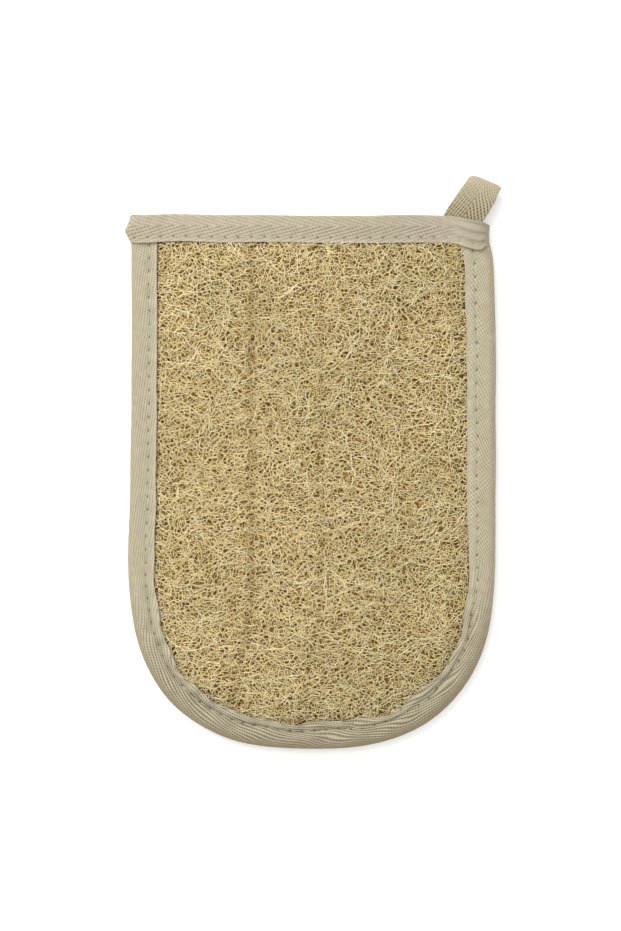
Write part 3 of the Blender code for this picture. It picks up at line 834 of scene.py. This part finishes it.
outside, lining = outer_ring(TAPE), outer_ring(0.0)
inside, facing = inner_ring(TAPE), inner_ring(0.0)
out_way, out_stops = around(outside)
in_way, _ = around(inside)
ring_length = out_stops[-1] + np.linalg.norm(outside[0] - outside[-1])
LEAF = TAPE_FACE - 0.5
leaf_t = np.arange(0, LEAF, 0.37)
section = []
for t in leaf_t:
    lift = 0.13 * (weave(out_stops, t, MOUTH_WEAVE) - 0.5) * (1 - 0.8 * np.exp(-((t / 1.2) ** 2)))
    lift = lift + 0.15 * np.exp(-((t / 0.4) ** 2)) - 0.3 * stitch_dent(out_stops, t, (SEAM_UP,))
    section.append((outside + out_way * lift[:, None], BAND_LOW_Y + t, t))
for share in np.linspace(0, 1, 9):
    over = outside * (1 - share) + inside * share
    section.append((over, RIM_Y - 0.5 + 0.5 * min(2.2 * math.sin(math.pi * share), 1), LEAF + 5 * share))
for t in np.linspace(0.5, LEAF, 12):
    section.append((inside, RIM_Y - 0.5 - t, LEAF + 5 + t))
front_count = len(section)
for t in np.linspace(0, LEAF - 0.2, 4):
    section.append((facing, BAND_LOW_Y + t, 25 - t))
for t in np.linspace(LEAF - 0.2, 0, 5):
    section.append((lining, BAND_LOW_Y + t, t))
grid = np.stack([np.column_stack([xz[:, 0], np.full(len(xz), y), xz[:, 1]]) for xz, y, _ in section], axis=1)
cloth = np.stack([np.column_stack([out_stops, np.full(len(out_stops), t)]) for _, _, t in section], axis=1)
grid = sagged(grid.reshape(-1, 3)).reshape(grid.shape)
mouth_tape = skin("mouth_tape", grid, cloth, front_count, mouth_cotton, ["mouth_binding"], ring_length, 3)

# %% [markdown]
# The seams are lockstitched in the same unbleached cotton, so the thread itself hardly shows.
# What the eye sees is the row of small dark needle holes, 5 mm apart, where each stitch dives in.

# %% Stitches
cotton_thread, tree, shader = finish_of("spun_cotton_thread", 0.8, 0.1)
shader.inputs["Base Color"].default_value = paint("#c3bba6")


def stitched(name, line, outward, stops, stands_for):
    """Stitches between the needle holes of a line, each an arch that lies on the tape."""
    runs = []
    for number in range(int(stops[-1] / STITCH)):
        walk = STITCH * (number + np.linspace(0.09, 0.91, 7))
        rise = 0.3 * np.sin(np.linspace(0, math.pi, 7)) ** 0.6 - 0.2
        spot = np.column_stack([np.interp(walk, stops, line[:, i]) for i in range(3)])
        way = np.column_stack([np.interp(walk, stops, outward[:, i]) for i in range(3)])
        runs.append(np.column_stack([spot + way * rise[:, None], np.full(7, 0.2), np.full(7, 0.5)]))
    tubes(name, runs, cotton_thread, stands_for)


for name, t in (("edge_seam_front", FRONT_SEAM), ("edge_seam_back", EDGE_SPAN - FRONT_SEAM)):
    inset, z, _, out_z = tape_section(np.array([[t]]), 0.0)
    x, y = inset_point(edge_line, inset)
    count = len(edge_line)
    pulled = seam_valley(np.full((count, 1), t), foot)
    line = np.column_stack([x, y, float(z[0, 0]) - pulled[:, 0]])
    up = np.column_stack([np.zeros((count, 2)), np.full(count, float(out_z[0, 0]))])
    stitched("stitches_" + name[5:], line, up, edge_stops, [name])

for name, ring, way in (("mouth_seam_outer", outside, out_way), ("mouth_seam_inner", inside, -in_way)):
    closed = np.concatenate([ring, ring[:1]])
    turned = np.concatenate([way, way[:1]])
    level = np.full(len(closed), BAND_LOW_Y + SEAM_UP)
    _, walked = around(closed)
    line = sagged(np.column_stack([closed[:, 0], level, closed[:, 1]]))
    stitched("stitches_" + name, line, np.column_stack([turned[:, 0], 0 * level, turned[:, 1]]), walked, [name])

# %% [markdown]
# The hanging loop is a doubled piece of narrower tape whose ends are caught under the mouth band.
# It leans to the right and bows open a little. Handling has left dark specks on it, and near its
# base the weave's painted shade is stronger.

# %% Hanging loop
LOOP_BASE = np.array([62.0, 107.3])
LOOP_LEAN = math.radians(31.5)
LOOP_HALF = 7.5
LOOP_REACH = 17.4
LOOP_BOW = 5.0
low_z = loop_low[2] + TAPE / 2
high_z = low_z + 2 * LOOP_BOW
turn_at = LOOP_REACH - TAPE / 2 - LOOP_BOW
start = (loop_low[1] - LOOP_BASE[1]) / math.cos(LOOP_LEAN)
bow = np.linspace(0, math.pi, 30)
round_end = np.column_stack([turn_at + LOOP_BOW * np.sin(bow), high_z - LOOP_BOW * (1 + np.cos(bow))])
w = np.linspace(0, 1, 30)[1:, None]
knots = [round_end[-1], np.array([6.0, high_z]), np.array([1.5, high_z - 0.9]), np.array([-3.2, high_z - 2.4])]
down = sum(math.comb(3, k) * w**k * (1 - w) ** (3 - k) * knots[k] for k in range(4))
path = np.concatenate([[(start, low_z), (6.0, low_z)], round_end, down])
walked = np.concatenate([[0], np.cumsum(np.linalg.norm(np.diff(path, axis=0), axis=1))])
stops = np.linspace(0, walked[-1], int(walked[-1] / 0.4))
reach, z = (np.interp(stops, walked, path[:, i]) for i in range(2))
way = unit(np.column_stack([np.gradient(reach), np.gradient(z)]))
normal = np.column_stack([-way[:, 1], way[:, 0]])
sections = []
cloths = []
for face, across in ((-1, np.linspace(-LOOP_HALF, LOOP_HALF, 40)), (1, np.linspace(LOOP_HALF, -LOOP_HALF, 12))):
    A, R = np.meshgrid(across, reach)
    relief = 0.13 * (weave(stops[:, None], A + LOOP_HALF, LOOP_WEAVE) - 0.5) * (face < 0)
    edge = 0.12 * np.exp(-(((LOOP_HALF - np.abs(A)) / 0.4) ** 2))
    half_thick = face * (TAPE / 2 + relief + edge)
    tip = ease(R, 5, 15)
    along = R + half_thick * normal[:, :1] + (math.tan(LOOP_LEAN) * (1 - tip) + 0.137 * tip) * A
    along = along - ease(R, 8, 16) * (1.5 * np.clip(-A / LOOP_HALF, 0, 1) ** 5 + 0.8 * np.clip(A / LOOP_HALF, 0, 1) ** 7)
    wide = A * (1 - 0.09 * tip)
    x = LOOP_BASE[0] + math.sin(LOOP_LEAN) * along + math.cos(LOOP_LEAN) * wide
    y = LOOP_BASE[1] + math.cos(LOOP_LEAN) * along - math.sin(LOOP_LEAN) * wide
    sections.append(np.stack([x, y, np.maximum(z[:, None] + half_thick * normal[:, 1:], 0.1)], axis=-1))
    cloths.append(np.stack([np.broadcast_to(stops[:, None], A.shape), A + LOOP_HALF], axis=-1))
grid, cloth = np.concatenate(sections, axis=1), np.concatenate(cloths, axis=1)
loop_tape = skin("loop_tape", grid, cloth, 40, loop_cotton, ["hanging_loop"], settle=np.copy)

# %% [markdown]
# Under the nets lies the felted pith of the panel, seen only through the holes; its dark colour
# is painted shade for their depth. The back is cotton terry: a ground cloth with rows of small
# uncut loops, which stand towards the bather.

# %% Pith and terry back
PANEL_INSET = 3.4
terry_cotton, tree, shader = finish_of("looped_cotton_terry", 0.9, 0.25)
spot = add(tree, "TexCoord").outputs["Object"]
mottle = add(tree, "TexNoise", {"Vector": spot, "Scale": 1 / (5 * MM), "Detail": 4.0}).outputs[0]
tree.links.new(blend(tree, mottle, paint("#cfc6ae"), paint("#ece6d6")), shader.inputs["Base Color"])


def slab(name, low, high, material, stands_for=(), columns=64, rows=96):
    """A closed slab over the panel's outline between two heights; its edge is inside the tape."""
    k = 1 - PANEL_INSET / HALF_WIDTH
    y = PANEL_END_Y - (PANEL_END_Y - SIDE_END_Y + FOOT_DEPTH * k) * np.sin(np.linspace(0, 0.99, rows) * math.pi / 2)
    down = np.clip((SIDE_END_Y - y) / (FOOT_DEPTH * k), 0, 1)
    half = HALF_WIDTH * k * (1 - down**FOOT_POWER) ** (1 / FOOT_POWER)
    x = half[:, None] * np.linspace(-1, 1, columns)
    y = np.broadcast_to(y[:, None], x.shape)
    top = np.stack([x, y, high(x, y)], axis=-1)
    under = np.stack([x, y, low(x, y)], axis=-1)[:, ::-1]
    grid = np.concatenate([top, under], axis=1)
    area = (half[1:] + half[:-1]) @ -np.diff(y[:, 0]) * MM * MM
    return skin(name, grid, grid[:, :, :2], columns, material, stands_for), area


slab("loofah_pith", loofah_under, lambda x, y: loofah_top(x, y) - 1.6 + 0.3 * waves(x, y, 3.2, 101), pith)
PILE = 0.85
terry, terry_area = slab("terry_ground", lambda x, y: back_under(x, y) + PILE, back_top, terry_cotton,
                         ["back_panel"])
draw = np.random.default_rng(SEED + 60)
loops = []
for y in np.arange(FOOT_Y + 10, RIM_Y - 9, 2.45):
    for x in np.arange(-64, 64, 2.4):
        x0, y0 = x + draw.normal(0, 0.3), y + draw.normal(0, 0.3)
        if seam_depth(x0, y0) < 9.5:
            continue
        turn = draw.normal(0.4, 0.5)
        side = np.array([-0.75, -0.55, 0.55, 0.75]) * draw.uniform(0.8, 1.3)
        sx, sy = x0 + side * math.cos(turn), y0 + side * math.sin(turn)
        sz = back_under(sx, sy) + PILE + np.array([0.1, -0.55, -0.55, 0.1])
        loops.append(np.column_stack([sx, sy, sz, np.full(4, 0.27), np.full(4, 0.5)]))
pile = tubes("terry_pile", loops, terry_cotton)

# %% [markdown]
# The camera looks straight down on the mitt through a long lens. How far away it stands follows
# from the width of a pixel on the mitt. A big soft lamp stands beyond the mouth at the left, so that
# the foot turns away from it, and the white card lies on a light table, so that shadows stay pale.

# %% Camera, floor and light
PHOTO = (621, 931)
MM_PER_PX = 0.4032
MIDDLE_PX = (311, 482)
LENS, SENSOR = 120.0, 36.0
eye = bpy.data.cameras.new("camera")
eye.lens, eye.sensor_width = LENS, SENSOR
camera = bpy.data.objects.new("camera", eye)
distance = PHOTO[1] * MM_PER_PX * LENS / SENSOR
look = ((PHOTO[0] / 2 - MIDDLE_PX[0]) * MM_PER_PX, (MIDDLE_PX[1] - PHOTO[1] / 2) * MM_PER_PX)
camera.location = (look[0] * MM, look[1] * MM, (EDGE_FRONT_Z + distance) * MM)
bpy.context.scene.collection.objects.link(camera)
bpy.context.scene.camera = camera
bpy.context.scene.view_settings.view_transform = "Standard"

card, tree, shader = finish_of("matt_white_card", 0.9)
shader.inputs["Base Color"].default_value = paint("#fcfcfb")
shader.inputs["Emission Color"].default_value = (1, 1, 1, 1)
shader.inputs["Emission Strength"].default_value = 0.2
floor_mesh = bpy.data.meshes.new("floor")
floor_mesh.from_pydata([(-3, -3, 0), (3, -3, 0), (3, 3, 0), (-3, 3, 0)], [], [(0, 1, 2, 3)])
floor_mesh.materials.append(card)
floor = bpy.data.objects.new("floor", floor_mesh)
bpy.context.scene.collection.objects.link(floor)

studio = bpy.data.worlds.new("studio")
studio.use_nodes = True
studio.node_tree.nodes["Background"].inputs["Color"].default_value = (1, 1, 1, 1)
studio.node_tree.nodes["Background"].inputs["Strength"].default_value = 0.62
bpy.context.scene.world = studio
for name, place, size, power in (("key", (-0.6, 0.9, 1.15), 1.2, 21.5), ("overhead", (0.0, 0.1, 1.7), 1.5, 10.0)):
    lamp = bpy.data.lights.new(name, "AREA")
    lamp.size = size
    lamp.energy = power
    softbox = bpy.data.objects.new(name, lamp)
    softbox.location = place
    softbox.rotation_euler = (-softbox.location).to_track_quat("-Z", "Y").to_euler()
    bpy.context.scene.collection.objects.link(softbox)
print("the camera stands %.0f mm above the tape" % distance)
